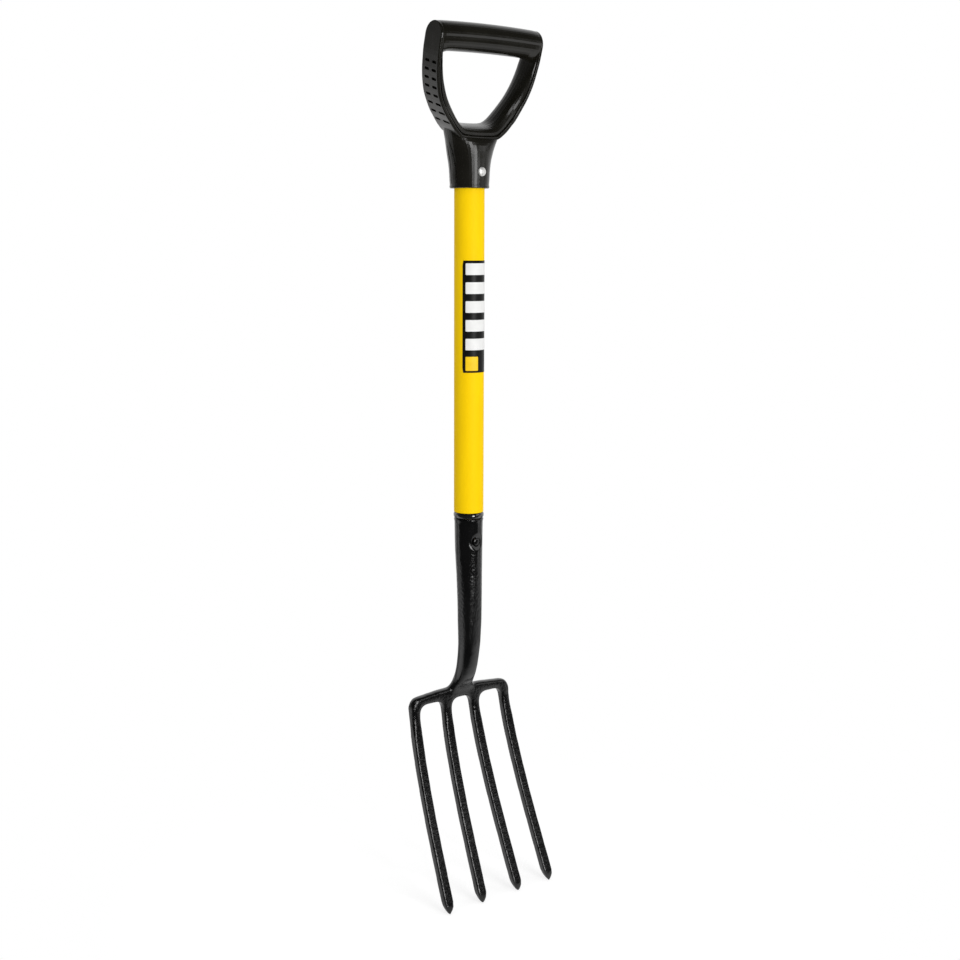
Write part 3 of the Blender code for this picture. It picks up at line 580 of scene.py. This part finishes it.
def make_label():
    wrapped_patch(
        "label_panel", LABEL_FOOT, LABEL_TOP, -LABEL_HALF_SWEEP, LABEL_HALF_SWEEP,
        LABEL_LIFT, label_material(), LABEL_CORNER,
    )
    white = ink("white_ink", (0.78, 0.78, 0.77), (0.84, 0.84, 0.83))
    yellow = ink("yellow_ink", (0.90, 0.57, 0.003), (0.96, 0.62, 0.004))
    pitch = (BAR_TOP - BAR_FOOT) / BARS
    for count in range(BARS):
        foot = BAR_FOOT + pitch * count
        wrapped_patch(
            f"label_bar_{count + 1}", foot, foot + pitch * BAR_SHARE,
            -PRINT_HALF_SWEEP, PRINT_HALF_SWEEP, PRINT_LIFT, white, LABEL_CORNER,
        )
    wrapped_patch(
        "label_block", BLOCK_FOOT, BLOCK_TOP, -PRINT_HALF_SWEEP, BLOCK_END,
        PRINT_LIFT, yellow, BLOCK_CORNER,
    )


make_label()


# Floor

FLOOR_REACH = 12.0
FLOOR_COLOUR = (0.80, 0.80, 0.80, 1.0)

# How bright the floor is in gloss, by its depth: 0 is 1 m towards the camera from the object's
# middle, and 1 is 1.5 m behind it
FLOOR_DEPTH_SCALE = 0.4
FLOOR_IN_GLOSS = (
    (0.290, 0.04), (0.350, 0.60), (0.400, 0.95), (0.500, 0.95),
    (0.560, 0.35), (0.700, 0.35), (0.850, 0.95),
)

# The shadow that the camera sees, by the distance from a place just in front of the shaft's axis
SHADOW_FORWARD = 0.04
SHADOW_FADES = ((0.16, 0.0), (0.42, 1.0))
SHADOW_COLOUR = (0.55, 0.55, 0.55, 1.0)
SHADOW_GLOW = 0.66


def pale_floor():
    """A pale floor. The camera sees it as white, apart from the shadow round the object's foot."""
    material, tree = new_material("pale_floor")
    tree.nodes.clear()
    depth = away_from_camera(tree, surface(tree, "Position"), FLOOR_DEPTH_SCALE)
    in_gloss = add_node(
        tree, "ShaderNodeEmission", {"Color": ramp(tree, depth, FLOOR_IN_GLOSS)},
    )
    plain = add_node(tree, "ShaderNodeBsdfDiffuse", {"Color": FLOOR_COLOUR})
    shadowed = add_node(tree, "ShaderNodeBsdfDiffuse", {"Color": SHADOW_COLOUR})
    glow = add_node(tree, "ShaderNodeEmission", {"Strength": SHADOW_GLOW})
    near = add_node(
        tree, "ShaderNodeAddShader",
        {0: shadowed.outputs["BSDF"], 1: glow.outputs["Emission"]},
    )
    white = add_node(tree, "ShaderNodeEmission", {"Strength": 1.0})
    foot = Vector((AXIS_X, AXIS_Y - SHADOW_FORWARD, CAD_LOW.z))
    lit = ramp(tree, distance_from(tree, foot), SHADOW_FADES)
    seen = mixed(tree, lit, near.outputs["Shader"], white.outputs["Emission"])
    ray = add_node(tree, "ShaderNodeLightPath", {}).outputs
    by_gloss = mixed(
        tree, ray["Is Glossy Ray"], plain.outputs["BSDF"], in_gloss.outputs["Emission"],
    )
    by_eye = mixed(tree, ray["Is Camera Ray"], by_gloss, seen)
    add_node(tree, "ShaderNodeOutputMaterial", {"Surface": by_eye})
    material.cycles.emission_sampling = "NONE"
    return material


def make_floor():
    corners = (
        (-FLOOR_REACH, -FLOOR_REACH), (FLOOR_REACH, -FLOOR_REACH),
        (FLOOR_REACH, FLOOR_REACH), (-FLOOR_REACH, FLOOR_REACH),
    )
    shape = bmesh.new()
    shape.faces.new([shape.verts.new((*corner, CAD_LOW.z)) for corner in corners])
    piece = mesh_object("floor", shape, pale_floor())


make_floor()


# Light

WHITE = (1.0, 1.0, 1.0, 1.0)
AMBIENT = 0.50

# How bright the world is in gloss. Its depth goes from 0 on the camera's side to 1 on the far
# side, and its height from 0 at the horizon to 1 overhead.
WORLD_DEPTH_SCALE = 0.5
FRONT_BY_DEPTH = ((0.0, 0.03), (0.40, 0.05), (0.60, 0.24))
FRONT_BY_HEIGHT = ((0.30, 1.0), (0.55, 0.20))
BACK_BY_DEPTH = ((0.61, 0.0), (0.76, 1.0))
BACK_BY_HEIGHT = ((0.70, 1.0), (0.92, 0.25))

# Each lamp's angle to the right of the camera, as seen from the object, its distance, the height
# of its middle, its width and height, and its brightness
LAMPS = {
    "key_softbox": (37.0, 1.8, 0.74, 0.80, 0.95, 7.5),
    "side_softbox": (78.0, 1.8, 1.01, 0.80, 0.78, 1.25),
    "fill_softbox": (-42.0, 1.8, 0.60, 0.40, 0.80, 4.2),
    "upper_softbox": (6.0, 1.5, 2.05, 0.60, 0.90, 5.0),
}


def make_world():
    """White to the camera. In gloss it is white behind the object and dark elsewhere."""
    world = bpy.data.worlds.new("studio")
    world.use_nodes = True
    tree = world.node_tree
    ambient = tree.nodes["Background"]
    feed(tree, ambient, {"Color": WHITE, "Strength": AMBIENT})
    seen = add_node(tree, "ShaderNodeBackground", {"Color": WHITE, "Strength": 1.0})
    direction = add_node(tree, "ShaderNodeTexCoord", {}).outputs["Generated"]
    depth = away_from_camera(tree, direction, WORLD_DEPTH_SCALE)
    height = upright_part(tree, direction)
    front = product(
        tree, ramp(tree, depth, FRONT_BY_DEPTH), ramp(tree, height, FRONT_BY_HEIGHT),
    )
    back = product(tree, ramp(tree, depth, BACK_BY_DEPTH), ramp(tree, height, BACK_BY_HEIGHT))
    around = math_node(tree, "MAXIMUM", front, back)
    mirrored = add_node(tree, "ShaderNodeBackground", {"Color": around, "Strength": 1.0})
    ray = add_node(tree, "ShaderNodeLightPath", {}).outputs
    by_gloss = mixed(
        tree, ray["Is Glossy Ray"], ambient.outputs["Background"], mirrored.outputs["Background"],
    )
    direct = math_node(tree, "MAXIMUM", ray["Is Camera Ray"], ray["Is Transmission Ray"])
    by_eye = mixed(tree, direct, by_gloss, seen.outputs["Background"])
    feed(tree, tree.nodes["World Output"], {"Surface": by_eye})
    world.cycles.sampling_method = "NONE"
    bpy.context.scene.world = world


def softbox(name, turn, distance, height, width, tall, brightness):
    """A lamp facing the shaft. Its power grows with its area, so it is as bright at any size."""
    data = bpy.data.lights.new(name, "AREA")
    data.shape = "RECTANGLE"
    data.size = width
    data.size_y = tall
    data.energy = brightness * math.pi * width * tall
    lamp = new_object(name, data)
    angle = math.radians(turn)
    away = VIEW_RIGHT * math.sin(angle) - VIEW_LEVEL * math.cos(angle)
    lamp.location = Vector((AXIS_X, AXIS_Y, height)) + away * distance
    lamp.rotation_euler = (-away).to_track_quat("-Z", "Y").to_euler()
    lamp.visible_camera = False


make_world()
for name, settings in LAMPS.items():
    softbox(name, *settings)
bpy.data.objects["fill_softbox"].visible_glossy = False
bpy.data.objects["upper_softbox"].visible_diffuse = False

bpy.context.scene.view_settings.view_transform = "Standard"
